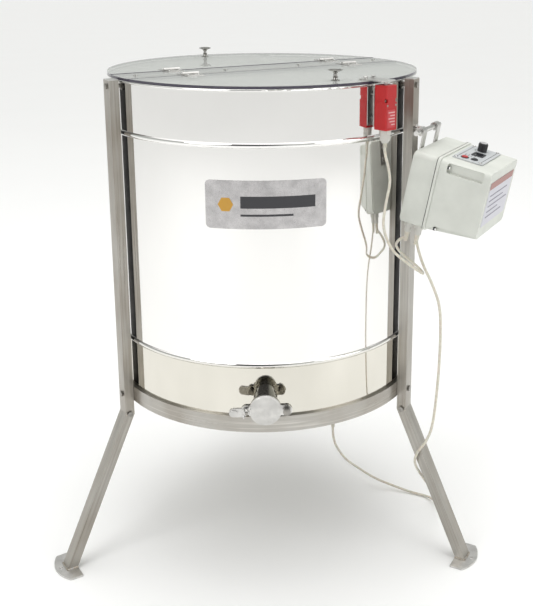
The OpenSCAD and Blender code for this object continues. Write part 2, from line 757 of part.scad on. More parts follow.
module hanger_rod() color(POLISHED) at_az(60) {
    translate([-63.5, -rod_r, rod_z]) rotate([0, 90, 0]) cylinder(r = rod_rad, h = 127);
    radial_pin(post_r + post_d / 2, rod_r, 4.5, z = rod_z);
    radial_pin(post_r + post_d / 2, post_r + post_d / 2 + 3, 8, z = rod_z);
}

module speed_knob() color(BLACK) on_panel(KNOB[0], KNOB[1], panel_t + 0.6) {
    difference() {
        union() {
            cylinder(r = 9.6, h = 15);
            translate([0, 0, 14]) cylinder(r1 = 9.6, r2 = 8.4, h = 3);
        }
        for (k = [0 : 11]) rotate([0, 0, 30 * k]) translate([10.1, 0, 3])
            cylinder(r = 1.2, h = 20, $fn = 16);
    }
    translate([0, 0, -12]) cylinder(r = stem_r, h = 13);
}

module push_button(b) {
    on_panel(b[0], b[1], -0.6) linear_extrude(4.6) stadium(b[2], b[3]);
    on_panel(b[0], b[1], -9) cylinder(r = stem_r, h = 10);
}

module start_button() color(RED) push_button(START);
module stop_button() color(BLACK) push_button(STOP);

// ---------- leads ----------

module interlock_lead() color(CREAM) tube(smooth(INTERLOCK_ROUTE, 2), lead_r);
module motor_lead() color(CREAM) tube(smooth(MOTOR_ROUTE, 2), lead_r);

drum_shell();
drum_floor();
base_ring();
post(POST_AZ[0]);  // post_left
post(POST_AZ[1]);  // post_right
post(POST_AZ[2]);  // post_rear
leg(POST_AZ[0]);  // leg_left
leg(POST_AZ[1]);  // leg_right
leg(POST_AZ[2]);  // leg_rear
foot_plates();
post_caps();
stand_bolts();
drive_bridge();
lower_bearing();
motor_body();
terminal_box();
drive_belt();
cross_beam();
upper_bearing();
centre_strip();
strip_screws();
fixed_hinge_leaves();
hinge_pins();
gate_pipe();
gate_flange();
gate_seal();
gate_bolts();
switch_bracket();
switch_body();
switch_head();
switch_gland();
name_plate();
hanger_rod();
interlock_lead();
motor_lead();
front_lid_panel();
front_lid_knob();
front_hinge_leaves();
interlock_key();
rear_lid_panel();
rear_lid_knob();
rear_hinge_leaves();
cage_shaft();
lower_spider();
upper_spider();
cage_rods();
drive_pulley();
motor_pulley();
gate_blade();
thumb_nut();
box_base();
box_cover();
panel_plate();
display_window();
box_screws();
box_hooks();
box_glands();
speed_knob();
start_button();
stop_button();
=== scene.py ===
"""Looks for a motor-driven honey extractor: materials, leads, fine pieces, stage and camera.

Everything is in metres in the CAD model's frame: the origin is on the floor on the drum's axis, and
bearings ("az", in degrees) run round the axis from the front (-Y) towards +X. On the control box,
x runs across, n runs forwards from its back and z runs up, from its lower rear edge.
"""
from math import cos, pi, radians, sin, tan

import bmesh
import bpy
from mathutils import Matrix, Vector


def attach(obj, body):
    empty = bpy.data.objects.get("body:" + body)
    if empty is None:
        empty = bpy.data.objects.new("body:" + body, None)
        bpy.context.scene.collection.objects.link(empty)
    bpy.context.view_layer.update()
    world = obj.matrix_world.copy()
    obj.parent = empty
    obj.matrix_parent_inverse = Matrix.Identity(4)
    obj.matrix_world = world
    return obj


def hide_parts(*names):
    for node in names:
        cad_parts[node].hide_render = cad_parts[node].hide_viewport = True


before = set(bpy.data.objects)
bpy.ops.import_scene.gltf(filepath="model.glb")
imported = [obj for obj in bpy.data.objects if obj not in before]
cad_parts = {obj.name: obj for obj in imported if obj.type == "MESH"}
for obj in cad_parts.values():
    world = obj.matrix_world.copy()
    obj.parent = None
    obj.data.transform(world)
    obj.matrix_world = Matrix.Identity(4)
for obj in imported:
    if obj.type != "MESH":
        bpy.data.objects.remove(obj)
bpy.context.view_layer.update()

MM = 0.001
POST_AZ = (-60, 60, 180)
DRUM_R = 0.325
POST_OUT = 0.3515            # outer face of the posts
LEG_SPLAY = radians(24.33)
KNEE = (0.3415, 0.3235)      # distance from the axis and height
FOOT = (0.486, 0.004)
BAR_T, BAR_R = 0.015, 0.010  # half the bars' width round the drum and half their depth
CORNERS = ((-1, -1), (1, -1), (1, 1), (-1, 1))
STAND_BOLT = (0.0104, 0.0036)  # size across the flats and height of the head
POST_BOLT_Z = (1.017, 0.367)
GATE_Z = 0.4185
GATE_FRONT = 0.372
PIVOT_X = 0.041
STUD_X = -0.036
SWITCH_AZ = 41.8
SWITCH_R = 0.350             # the switch's middle
SWITCH_HALF = 0.0155         # half its width
BOX_TILT = radians(11.5)
BOX_EDGE = (0.35107, 0.757)  # lower rear edge of the box: distance from the axis and height
BOX_W, BOX_H, BOX_D = 0.185, 0.147, 0.158
BOX_X0 = -0.080
SEAM_N = 0.050
COVER_TOP = 0.146
KNOB_AT = (0.060, 0.093)
# Each button's name, place on the panel (x, n), width and depth.
BUTTONS = (("start", -0.019, 0.084, 0.0148, 0.0108), ("stop", -0.017, 0.103, 0.0128, 0.0088))
GLANDS = {"interlock": (-0.060, 0.017), "motor": (-0.060, 0.039)}
MOTOR_X = 0.150
LEAF_U = 0.192               # the hinges' places along the lid's fixed strip
LEAF_EDGE = 0.0455           # the leaves' edges, from the strip's middle line
LEAD_R = 0.0028

# The leads' routes, in millimetres as they were designed.
INTERLOCK_ROUTE = (
    (233, -261, 917), (234, -262, 897), (241, -266, 866), (243, -270, 838), (236, -276, 802),
    (231, -281, 765), (238, -273, 732), (255, -264, 700), (281, -265, 677), (301, -268, 663),
    (313, -259, 653), (316, -245, 650), (311, -230, 654), (292, -218, 669), (274, -211, 684),
    (266, -212, 699), (272, -221, 713), (282, -231, 721), (285, -234, 733))
MOTOR_ROUTE = (
    (304, -245, 729), (303, -245, 711), (314, -251, 672), (334, -262, 628), (347, -269, 588),
    (351, -272, 535), (350, -271, 440), (344, -261, 332), (336, -236, 276), (320, -216, 235),
    (318, -208, 207), (333, -190, 172), (355, -158, 128), (380, -98, 62), (393, -42, 16),
    (382, -8, 5), (345, 14, 5), (300, 36, 12), (257, 48, 27), (223, 46, 52), (190, 30, 86),
    (167, 3, 130), (156, -26, 168), (151, -52, 205), (150, -62, 240))


# ---------------------------------------------------------------- places

def around(az):
    """The frame at a bearing: X runs round the drum, -Y points outwards."""
    return Matrix.Rotation(radians(az), 4, "Z")


def polar(az, r, z, t=0.0):
    return around(az) @ Vector((t, -r, z))


BOX = (around(60) @ Matrix.Translation((0, -BOX_EDGE[0], BOX_EDGE[1]))
       @ Matrix.Rotation(BOX_TILT, 4, "X"))
LID = around(30)             # X runs along the lid's fixed strip
LID_SIDES = {"lid_front": LID, "lid_rear": LID @ Matrix.Rotation(pi, 4, "Z")}


def pointing(at, direction):
    """A frame at a point, with its Z along a direction."""
    return Matrix.Translation(at) @ Vector(direction).to_track_quat("Z", "Y").to_matrix().to_4x4()


# ---------------------------------------------------------------- materials

def set_stops(ramp, stops):
    """Gives a colour ramp its stops, as (place, colour) pairs."""
    elements = ramp.color_ramp.elements
    while len(elements) < len(stops):
        elements.new(0.5)
    for element, (place, colour) in zip(elements, stops):
        element.position = place
        element.color = (*colour, 1.0)


class Surface:
    """A Principled material whose colour, roughness and bump come from procedural nodes."""

    def __init__(self, name, rough=0.5, metal=0.0, **constants):
        self.material = bpy.data.materials.new(name)
        self.material.use_nodes = True
        self.tree = self.material.node_tree
        self.shader = self.tree.nodes["Principled BSDF"]
        self.shader.inputs["Roughness"].default_value = rough
        self.shader.inputs["Metallic"].default_value = metal
        for socket, value in constants.items():
            self.shader.inputs[socket.replace("_", " ")].default_value = value
        self.coord = self.node("TexCoord").outputs["Object"]

    def node(self, kind, **values):
        made = self.tree.nodes.new("ShaderNode" + kind)
        for key, value in values.items():
            setattr(made, key, value)
        return made

    def link(self, a, b):
        self.tree.links.new(a, b)

    def noise(self, scale, detail=4.0, along=None):
        """Noise stretched by scale, its Z axis turned along a direction if one is given."""
        vector = self.coord
        if along is not None:
            turn = self.node("VectorRotate", rotation_type="EULER_XYZ", invert=True)
            turn.inputs["Rotation"].default_value = Vector(along).to_track_quat("Z", "Y").to_euler()
            self.link(vector, turn.inputs["Vector"])
            vector = turn.outputs["Vector"]
        mapping = self.node("Mapping")
        mapping.inputs["Scale"].default_value = scale
        self.link(vector, mapping.inputs["Vector"])
        noise = self.node("TexNoise")
        noise.inputs["Scale"].default_value = 1.0
        noise.inputs["Detail"].default_value = detail
        self.link(mapping.outputs["Vector"], noise.inputs["Vector"])
        return noise.outputs["Fac"]

    def ramp(self, fac, stops):
        ramp = self.node("ValToRGB")
        set_stops(ramp, stops)
        self.link(fac, ramp.inputs["Fac"])
        return ramp.outputs["Color"]

    def span(self, fac, low, high, start=0.3, end=0.7):
        span = self.node("MapRange")
        span.inputs["From Min"].default_value = start
        span.inputs["From Max"].default_value = end
        span.inputs["To Min"].default_value = low
        span.inputs["To Max"].default_value = high
        self.link(fac, span.inputs["Value"])
        return span.outputs["Result"]

    def mix(self, fac, a, b):
        mix = self.node("Mix", data_type="RGBA")
        self.link(fac, mix.inputs["Factor"])
        for value, socket in ((a, mix.inputs["A"]), (b, mix.inputs["B"])):
            if isinstance(value, tuple):
                socket.default_value = (*value, 1.0)
            else:
                self.link(value, socket)
        return mix.outputs["Result"]

    def colour(self, value):
        self.link(value, self.shader.inputs["Base Color"])
        return self

    def roughness(self, value):
        self.link(value, self.shader.inputs["Roughness"])
        return self

    def bump(self, height, strength, distance=0.0005):
        bump = self.node("Bump")
        bump.inputs["Strength"].default_value = strength
        bump.inputs["Distance"].default_value = distance
        self.link(height, bump.inputs["Height"])
        self.link(bump.outputs["Normal"], self.shader.inputs["Normal"])
        return self


# Near-black painted shade for the side of a post that faces the drum.
PAINTED_SHADE_BLACK = (0.02, 0.019, 0.02)


def brushed_steel(name, along, dark=(0.20, 0.185, 0.165), light=(0.52, 0.50, 0.46),
                  grain=(260, 260, 5), shaded_side=None):
    """Bar or tube brushed lengthways, with dull brownish patches and a few bright scuffs.

    The side that faces along shaded_side is painted near black: painted shade of a post's side that
    faces the drum.
    """
    s = Surface(name, metal=1.0)
    streaks = s.noise(grain, 6, along)
    patches = s.noise((9, 9, 5), 3, along)
    steel = s.ramp(streaks, ((0.25, dark), (0.5, (0.36, 0.34, 0.31)), (0.75, light)))
    worn = s.ramp(patches, ((0.30, (0.27, 0.235, 0.19)), (0.62, (0.58, 0.57, 0.54))))
    steel = s.mix(s.span(patches, 0.55, 0.25), steel, worn)
    # Painted shade: the side that faces the drum is near black.
    if shaded_side is not None:
        facing = s.node("VectorMath", operation="DOT_PRODUCT")
        s.link(s.node("TexCoord").outputs["Normal"], facing.inputs[0])
        facing.inputs[1].default_value = shaded_side
        steel = s.mix(s.span(facing.outputs["Value"], 0.0, 1.0, 0.4, 0.8), steel, PAINTED_SHADE_BLACK)
    s.colour(steel)
    s.roughness(s.span(streaks, 0.26, 0.46))
    return s.bump(streaks, 0.25, 0.0002).material


def polished_sheet(name):
    """Mirror-polished stainless sheet with a slow waviness; below the lower bead it is painted
    darker and warmer, a painted reflection of the floor.
    """
    s = Surface(name, metal=1.0)
    lines = s.noise((14, 14, 420), 3)
    smears = s.noise((5, 5, 3), 4)
    place = s.node("SeparateXYZ")
    s.link(s.coord, place.inputs["Vector"])
    # Mask for the painted floor reflection: 0 below the lower bead, 1 above it.
    height = s.span(place.outputs["Z"], 0.0, 1.0, 0.484, 0.494)
    body = s.mix(s.span(smears, 0.0, 0.5), (0.865, 0.857, 0.843), (0.80, 0.79, 0.772))
    # Painted reflection of the floor: darker, warmer colour below the lower bead.
    lower = s.mix(s.span(smears, 0.0, 1.0), (0.74, 0.715, 0.65), (0.62, 0.60, 0.54))
    s.colour(s.mix(height, lower, body))
    s.roughness(s.span(lines, 0.035, 0.075))
    return s.bump(smears, 0.05, 0.004).material


def bright_metal(name, colour=(0.74, 0.73, 0.71), rough=(0.14, 0.30)):
    """Turned or pressed fittings with fine random scratches."""
    s = Surface(name, metal=1.0)
    fine = s.noise((700, 700, 260), 5)
    smears = s.noise((60, 60, 60), 3)
    dull = tuple(c * 0.72 for c in colour)
    s.colour(s.mix(s.span(smears, 0.0, 0.8), colour, dull))
    s.roughness(s.span(fine, *rough))
    return s.bump(fine, 0.10, 0.0001).material


def clear_sheet(name):
    """Clear acrylic with a grey-green cast and faint dust; its edges get near-black painted shade,
    where light is trapped.
    """
    s = Surface(name, rough=0.04, IOR=1.49)
    dust = s.noise((320, 320, 320), 5)
    smears = s.noise((7, 7, 7), 3)
    facing = s.node("SeparateXYZ")
    s.link(s.node("TexCoord").outputs["Normal"], facing.inputs["Vector"])
    level = s.node("Math", operation="ABSOLUTE")
    s.link(facing.outputs["Z"], level.inputs[0])
    flat = s.span(level.outputs[0], 0.0, 1.0, 0.4, 0.7)
    sheet = s.mix(s.span(smears, 0.1, 0.9), (0.70, 0.72, 0.69), (0.79, 0.80, 0.775))
    # Painted shade: faces that stand on edge are near black.
    s.colour(s.mix(flat, (0.045, 0.038, 0.062), sheet))
    s.roughness(s.span(dust, 0.025, 0.07))
    s.link(s.span(level.outputs[0], 0.92, 0.58, 0.4, 0.7), s.shader.inputs["Alpha"])
    return s.material


def moulded(name, colour, rough=(0.38, 0.52), grain=900, bump=0.12, soil=0.10):
    """Moulded plastic with a fine spark-eroded texture and a little soiling."""
    s = Surface(name)
    fine = s.noise((grain, grain, grain), 3)
    slow = s.noise((22, 22, 22), 4)
    soiled = tuple(c * (1 - soil) for c in colour)
    s.colour(s.mix(s.span(slow, 0.0, 1.0, 0.4, 0.75), colour, soiled))
    s.roughness(s.span(fine, *rough))
    return s.bump(fine, bump, 0.0001).material


def cord_sheath(name):
    """Soft cream sheath with a slight waxy sheen and scuffs."""
    s = Surface(name, Subsurface_Weight=0.08, Sheen_Weight=0.15)
    scuffs = s.noise((160, 160, 160), 4)
    s.colour(s.mix(s.span(scuffs, 0.0, 1.0, 0.45, 0.75), (0.66, 0.625, 0.54), (0.54, 0.50, 0.42)))
    s.roughness(s.span(scuffs, 0.42, 0.58))
    return s.bump(scuffs, 0.08, 0.0002).material


def printed(name, colour):
    """Ink or enamel on a smooth ground."""
    s = Surface(name)
    fine = s.noise((1500, 1500, 1500), 2)
    s.colour(s.mix(s.span(fine, 0.0, 0.6), colour, tuple(c * 0.85 for c in colour)))
    return s.roughness(s.span(fine, 0.32, 0.45)).material


def smoked_window(name):
    s = Surface(name, Coat_Weight=0.6, Coat_Roughness=0.04)
    haze = s.noise((400, 400, 400), 3)
    s.colour(s.mix(s.span(haze, 0.0, 0.4), (0.012, 0.014, 0.018), (0.03, 0.03, 0.035)))
    return s.roughness(s.span(haze, 0.06, 0.14)).material


def rubber(name):
    s = Surface(name)
    fine = s.noise((600, 600, 600), 4)
    s.colour(s.mix(fine, (0.018, 0.018, 0.018), (0.045, 0.045, 0.045)))
    s.roughness(s.span(fine, 0.6, 0.8))
    return s.bump(fine, 0.2, 0.0002).material


def weld_metal(name):
    """Weld bead with straw and blue heat tint."""
    s = Surface(name, metal=1.0)
    tint = s.noise((260, 260, 260), 4)
    s.colour(s.ramp(tint, ((0.3, (0.24, 0.20, 0.17)), (0.5, (0.55, 0.50, 0.42)),
                           (0.7, (0.42, 0.43, 0.46)))))
    s.roughness(s.span(tint, 0.3, 0.5))
    return s.bump(tint, 0.4, 0.0003).material


def leg_direction(az):
    return around(az) @ Vector((0, -sin(LEG_SPLAY), -cos(LEG_SPLAY)))


POLISHED = polished_sheet("polished_sheet")
# Each post's side that faces the drum gets near-black painted shade.
POST_STEEL = {az: brushed_steel(f"post_steel_{i}", (0, 0, 1),
                                shaded_side=around(az) @ Vector((0, 1, 0)))
              for i, az in enumerate(POST_AZ)}
LEG_STEEL = {az: brushed_steel(f"leg_steel_{i}", leg_direction(az))
             for i, az in enumerate(POST_AZ)}
BAR_STEEL = brushed_steel("bar_steel", (1, 0, 0), (0.26, 0.25, 0.23), (0.58, 0.57, 0.54))
RING_STEEL = brushed_steel("ring_steel", None, (0.40, 0.385, 0.36), (0.76, 0.74, 0.70), (5, 5, 300))
BRIGHT = bright_metal("bright_metal")
DULL = bright_metal("dull_metal", (0.36, 0.345, 0.32), (0.24, 0.40))
# Pipe and flange are painted darker than the blade's steel: a painted reflection of the dark
# surroundings their polish shows.
GATE_METAL = bright_metal("gate_metal_painted_reflection", (0.50, 0.485, 0.45), (0.10, 0.20))
PLATE_METAL = bright_metal("plate_metal", (0.56, 0.545, 0.55), (0.22, 0.34))
KNOB_METAL = bright_metal("knob_metal", (0.44, 0.43, 0.41), (0.06, 0.14))
SATIN = bright_metal("satin_metal", (0.66, 0.65, 0.63), (0.26, 0.42))
ALLOY = bright_metal("machined_alloy", (0.70, 0.70, 0.71), (0.30, 0.45))
CHROMED = bright_metal("polished_metal", (0.86, 0.85, 0.84), (0.05, 0.12))
ACRYLIC = clear_sheet("clear_acrylic")
# Painted shade for the thin dark lines at the lid's seams.
LID_SEAM_SHADE = printed("lid_seam_painted_shade", (0.050, 0.042, 0.075))
RED = moulded("red_plastic", (0.47, 0.010, 0.012), (0.36, 0.48), 700, 0.06, 0.12)
PALE = moulded("pale_plastic", (0.65, 0.665, 0.615), (0.42, 0.56))
GLAND = moulded("gland_plastic", (0.62, 0.61, 0.57), (0.36, 0.48))
PANEL = moulded("panel_face", (0.52, 0.54, 0.55), (0.34, 0.44), 1200, 0.05, 0.06)
BLACK = moulded("black_plastic", (0.020, 0.020, 0.022), (0.34, 0.50), 800, 0.12, 0.0)
DARK_GREY = moulded("dark_plastic", (0.045, 0.048, 0.052), (0.40, 0.55))
MOTOR_PAINT = moulded("motor_paint", (0.055, 0.062, 0.068), (0.40, 0.55), 500, 0.25)
WINDOW = smoked_window("smoked_window")
RUBBER = rubber("black_rubber")
SHEATH = cord_sheath("cream_sheath")
WELD = weld_metal("weld_metal")
INK = printed("dark_ink", (0.035, 0.035, 0.040))
PALE_INK = printed("pale_ink", (0.80, 0.80, 0.79))
LILAC = printed("lilac_label", (0.60, 0.595, 0.65))
ROSE = printed("rose_print", (0.72, 0.42, 0.42))
CRIMSON = printed("crimson_label", (0.56, 0.055, 0.065))
BRICK = printed("brick_label", (0.36, 0.16, 0.14))
GREY_INK = printed("grey_ink", (0.20, 0.20, 0.26))
AMBER = printed("amber_ink", (0.56, 0.30, 0.04))

NODE_LOOKS = {
    POLISHED: ("drum_shell", "drum_floor"),
    RING_STEEL: ("base_ring",),
    BAR_STEEL: ("drive_bridge", "cross_beam"),
    SATIN: ("foot_plates", "post_caps", "gate_blade", "interlock_key", "switch_bracket",
            "fixed_hinge_leaves", "front_hinge_leaves", "rear_hinge_leaves", "box_hooks"),
    BRIGHT: ("hanger_rod", "cage_shaft", "lower_spider", "upper_spider", "cage_rods",
             "hinge_pins", "strip_screws"),
    DULL: ("stand_bolts", "gate_bolts"),
    GATE_METAL: ("gate_pipe", "gate_flange"),
    PLATE_METAL: ("name_plate",),
    KNOB_METAL: ("front_lid_knob", "rear_lid_knob"),
    ALLOY: ("lower_bearing", "upper_bearing", "drive_pulley", "motor_pulley"),
    ACRYLIC: ("centre_strip", "front_lid_panel", "rear_lid_panel"),
    RED: ("switch_body", "switch_head", "start_button"),
    PALE: ("box_base", "box_cover"),
    GLAND: ("switch_gland", "box_glands"),
    PANEL: ("panel_plate",),
    BLACK: ("speed_knob", "stop_button"),
    DARK_GREY: ("terminal_box", "box_screws"),
    MOTOR_PAINT: ("motor_body",),
    WINDOW: ("display_window",),
    RUBBER: ("drive_belt", "gate_seal"),
}


def dress(node, material):
    """Gives a CAD node its material."""
    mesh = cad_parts[node].data
    mesh.materials.clear()
    mesh.materials.append(material)


def dress_nodes():
    for material, names in NODE_LOOKS.items():
        for name in names:
            dress(name, material)
    for az, side in zip(POST_AZ, ("left", "right", "rear")):
        dress(f"post_{side}", POST_STEEL[az])
        dress(f"leg_{side}", LEG_STEEL[az])


dress_nodes()


# ---------------------------------------------------------------- mesh helpers

def piece(name, bm, material, body="stand", sharp=35.0):
    """Makes an object from a mesh built in the row frame, and lets it ride on a body."""
    bmesh.ops.recalc_face_normals(bm, faces=bm.faces)
    for face in bm.faces:
        face.smooth = True
    for edge in bm.edges:
        edge.smooth = len(edge.link_faces) == 2 and edge.calc_face_angle(pi) < radians(sharp)
    mesh = bpy.data.meshes.new(name)
    bm.to_mesh(mesh)
    bm.free()
    mesh.materials.append(material)
    obj = bpy.data.objects.new(name, mesh)
    bpy.context.collection.objects.link(obj)
    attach(obj, body)
    return obj


def add_lathe(bm, place, profile, segments=40):
    """Adds a turned solid: profile is (radius, height) pairs, closed on the axis at both ends."""
    rings = []
    for radius, height in profile:
        if radius < 1e-7:
            rings.append([bm.verts.new(place @ Vector((0, 0, height)))])
            continue
        rings.append([bm.verts.new(place @ Vector((radius * cos(2 * pi * k / segments),
                                                   radius * sin(2 * pi * k / segments), height)))
                      for k in range(segments)])
    for low, high in zip(rings, rings[1:]):
        for k in range(segments):
            n = (k + 1) % segments
            corners = [low[k % len(low)], low[n % len(low)], high[n % len(high)],
                       high[k % len(high)]]
            face = list(dict.fromkeys(corners))
            if len(face) > 2:
                bm.faces.new(face)


def add_band(bm, a, b):
    """Joins two closed loops of the same length with quads."""
    for k in range(len(a)):
        n = (k + 1) % len(a)
        bm.faces.new((a[k], a[n], b[n], b[k]))


def add_prism(bm, place, outline, low, high, chamfer=0.0):
    """Adds a flat solid with chamfered rims: outline is (x, y) pairs, extruded from low to high."""
    centre = sum((Vector(p) for p in outline), Vector((0, 0))) / len(outline)

    def loop(z, inset):
        points = []
        for p in outline:
            out = Vector(p) - centre
            scale = max(0.0, 1 - inset / max(out.length, 1e-9))
            points.append(bm.verts.new(place @ Vector((*(centre + out * scale), z))))
        return points

    loops = [loop(low, chamfer), loop(low + chamfer, 0), loop(high - chamfer, 0),
             loop(high, chamfer)] if chamfer else [loop(low, 0), loop(high, 0)]
    for a, b in zip(loops, loops[1:]):
        add_band(bm, a, b)
    bm.faces.new(loops[0])
    bm.faces.new(loops[-1])


def add_rim(bm, place, outer, inner, heights):
    """Adds a rim; heights holds its outer foot, outer top, inner top and inner foot."""
    rings = [[bm.verts.new(place @ Vector((*p, z))) for p in shape]
             for shape, z in zip((outer, outer, inner, inner), heights)]
    for a, b in zip(rings, rings[1:]):
        add_band(bm, a, b)


def rounded(width, height, radius, steps=6, centre=(0.0, 0.0)):
    """The outline of a rounded rectangle."""
    points = []
    for corner, (sx, sy) in enumerate(((1, 1), (-1, 1), (-1, -1), (1, -1))):
        for k in range(steps + 1):
            a = pi / 2 * (corner + k / steps)
            points.append((centre[0] + sx * (width / 2 - radius) + radius * cos(a),
                           centre[1] + sy * (height / 2 - radius) + radius * sin(a)))
    return points


def polygon(sides, radius, turn=0.0):
    return [(radius * cos(2 * pi * k / sides + turn), radius * sin(2 * pi * k / sides + turn))
            for k in range(sides)]


def add_sweep(bm, points, radius_at, sides=10, closed=False):
    """Adds a tube along points; radius_at gives its radius at each point's number."""
    count = len(points)
    side = Vector((0.31, 0.53, 0.79))
    rings = []
    for i, point in enumerate(points):
        before = points[i - 1] if closed or i else point
        after = points[(i + 1) % count] if closed or i < count - 1 else point
        along = (after - before).normalized()
        side = (side - along * side.dot(along)).normalized()
        up = along.cross(side)
        rings.append([bm.verts.new(point + radius_at(i) * (side * cos(2 * pi * k / sides)
                                                          + up * sin(2 * pi * k / sides)))
                      for k in range(sides)])
    pairs = list(zip(rings, rings[1:])) + ([(rings[-1], rings[0])] if closed else [])
    for a, b in pairs:
        add_band(bm, a, b)
    if not closed:
        bm.faces.new(rings[0])
        bm.faces.new(rings[-1])


def add_hex_bolt(bm, at, direction, flats, height, washer=True):
    """Adds a washer and a chamfered hexagon head that stand on a face."""
    place = pointing(at, direction)
    base = 0.0
    if washer:
        add_lathe(bm, place, ((0, 0), (flats * 0.92, 0), (flats * 0.92, 0.0008),
                              (flats * 0.86, 0.0012), (0, 0.0012)), 28)
        base = 0.0012
    radius = flats / 2 / cos(pi / 6)
    add_prism(bm, place, polygon(6, radius), base, base + height * 0.86, 0)
    add_lathe(bm, place, ((0, base + height * 0.5), (radius * 0.99, base + height * 0.84),
                          (flats / 2 * 0.92, base + height), (0, base + height)), 36)


def smooth_route(points, steps=6):
    """A Catmull-Rom curve through the points, in metres."""
    p = [Vector(q) * MM for q in points]
    out = []
    for i in range(len(p) - 1):
        a, b, c, d = p[max(i - 1, 0)], p[i], p[i + 1], p[min(i + 2, len(p) - 1)]
        for k in range(steps):
            t = k / steps
            out.append(0.5 * (2 * b + (c - a) * t + (2 * a - 5 * b + 4 * c - d) * t * t
                              + (3 * b - a - 3 * c + d) * t * t * t))
    return out + [p[-1]]


# ---------------------------------------------------------------- leads

def make_lead(name, node, route):
    """A lead that leaves one gland and goes back into another."""
    points = smooth_route(route)
    curve = bpy.data.curves.new(name, "CURVE")
    curve.dimensions = "3D"
    curve.bevel_depth = LEAD_R
    curve.bevel_resolution = 5
    curve.use_fill_caps = True
    spline = curve.splines.new("POLY")
    spline.points.add(len(points) - 1)
    for spot, point in zip(spline.points, points):
        spot.co = (*point, 1.0)
    curve.materials.append(SHEATH)
    obj = bpy.data.objects.new(name, curve)
    bpy.context.collection.objects.link(obj)
    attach(obj, "stand")
    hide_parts(node)


make_lead("interlock_cord", "interlock_lead", INTERLOCK_ROUTE)
make_lead("motor_cord", "motor_lead", MOTOR_ROUTE)


def strain_relief(name, at, direction, body, length=0.022, root=0.0052):
    """A tapered, ribbed sleeve where a lead leaves its gland."""
    bm = bmesh.new()
    profile = [(LEAD_R + 0.0001, 0.0), (root, 0.0)]
    ribs = 6
    for k in range(ribs):
        z = length * k / ribs
        r = root + (LEAD_R + 0.0009 - root) * k / ribs
        profile += [(r, z + 0.0002), (r, z + length / ribs * 0.55),
                    (r - 0.0007, z + length / ribs * 0.68), (r - 0.0007, z + length / ribs * 0.95)]
    profile.append((LEAD_R + 0.0001, length))
    add_lathe(bm, pointing(at, direction), [(0, 0)] + profile + [(0, length)], 24)
    piece(name, bm, SHEATH, body)


def make_strain_reliefs():
    """The sleeves at the switch, at the box's two used glands and at the motor."""
    down = (BOX.to_3x3() @ Vector((0, 0, -1))).normalized()
    strain_relief("switch_strain_relief", polar(SWITCH_AZ, SWITCH_R, 0.9175), (0.05, -0.05, -1),
                  "stand", 0.010, 0.0044)
    for name, (x, n) in GLANDS.items():
        at = BOX @ Vector((x, -n, -0.0195))
        strain_relief(f"box_strain_relief_{name}", at, down, "control_box")
    strain_relief("motor_strain_relief", Vector((MOTOR_X, -0.062, 0.2405)), (0.03, 0.16, -1),
                  "stand")


make_strain_reliefs()


# ---------------------------------------------------------------- stand

def make_bolt_heads():
    """Heads on the posts' faces and on both sides of each knee."""
    bm = bmesh.new()
    for az in POST_AZ:
        out = around(az) @ Vector((0, -1, 0))
        round_way = around(az) @ Vector((1, 0, 0))
        for z in POST_BOLT_Z:
            add_hex_bolt(bm, polar(az, POST_OUT, z), out, *STAND_BOLT, washer=False)
        for side in (-1, 1):
            add_hex_bolt(bm, polar(az, *KNEE, side * BAR_T), round_way * side, *STAND_BOLT,
                         washer=False)
    piece("stand_bolt_heads", bm, DULL)


def weld_points(corners, step=0.004):
    """Points along a closed polygon, a ripple apart."""
    points = []
    for a, b in zip(corners, corners[1:] + corners[:1]):
        count = max(1, round((b - a).length / step))
        points += [a.lerp(b, k / count) for k in range(count)]
    return points


def make_welds():
    """Ripple welds where the legs meet their feet, and across the mitred knees."""
    bm = bmesh.new()
    foot_r = BAR_R / cos(LEG_SPLAY)
    lean = tan(LEG_SPLAY / 2)
    for az in POST_AZ:
        foot = [polar(az, FOOT[0] + r * foot_r, FOOT[1] + 0.0006, t * BAR_T) for t, r in CORNERS]
        points = weld_points(foot)
        add_sweep(bm, points, lambda i: 0.0018 + 0.0004 * (i % 2), 8, closed=True)
        knee = [polar(az, KNEE[0] + r * BAR_R, KNEE[1] - r * BAR_R * lean, t * BAR_T)
                for t, r in CORNERS]
        points = weld_points(knee, 0.003)
        add_sweep(bm, points, lambda i: 0.0007 + 0.0002 * (i % 2), 8, closed=True)
    piece("weld_beads", bm, WELD)


def add_curved_patch(bm, az0, az1, z0, z1, r0, r1, steps=16):
    """Adds a thin patch that follows the drum's wall."""
    def column(az, r):
        return [bm.verts.new(polar(az, r, z)) for z in (z0, z1)]

    bearings = [az0 + (az1 - az0) * k / steps for k in range(steps + 1)]
    columns = [(column(az, r0), column(az, r1)) for az in bearings]
    for (in_a, out_a), (in_b, out_b) in zip(columns, columns[1:]):
        bm.faces.new((out_a[0], out_b[0], out_b[1], out_a[1]))
        bm.faces.new((in_a[0], in_a[1], in_b[1], in_b[0]))
        bm.faces.new((in_a[1], out_a[1], out_b[1], in_b[1]))
        bm.faces.new((in_a[0], in_b[0], out_b[0], out_a[0]))
    for inner, outer in (columns[0], columns[-1]):
        bm.faces.new((inner[0], inner[1], outer[1], outer[0]))


PLATE_BARS = ((-7.5, 17.5, 0.8060, 0.8290), (-7.5, 10.0, 0.7905, 0.7945))  # bearings, heights
BADGE_AZ = -12.5


def make_plate_print():
    """A plain amber hexagon and two plain bars: no lettering and no mark."""
    inner, outer = DRUM_R + 0.00085, DRUM_R + 0.00115
    bm = bmesh.new()
    for bar in PLATE_BARS:
        add_curved_patch(bm, *bar, inner, outer)
    piece("name_plate_print", bm, INK)
    bm = bmesh.new()
    badge = pointing(polar(BADGE_AZ, DRUM_R + 0.00105, 0.8130),
                     around(BADGE_AZ) @ Vector((0, -1, 0)))
    add_prism(bm, badge, polygon(6, 0.0150), -0.0001, 0.0003)
    piece("name_plate_badge", bm, AMBER)


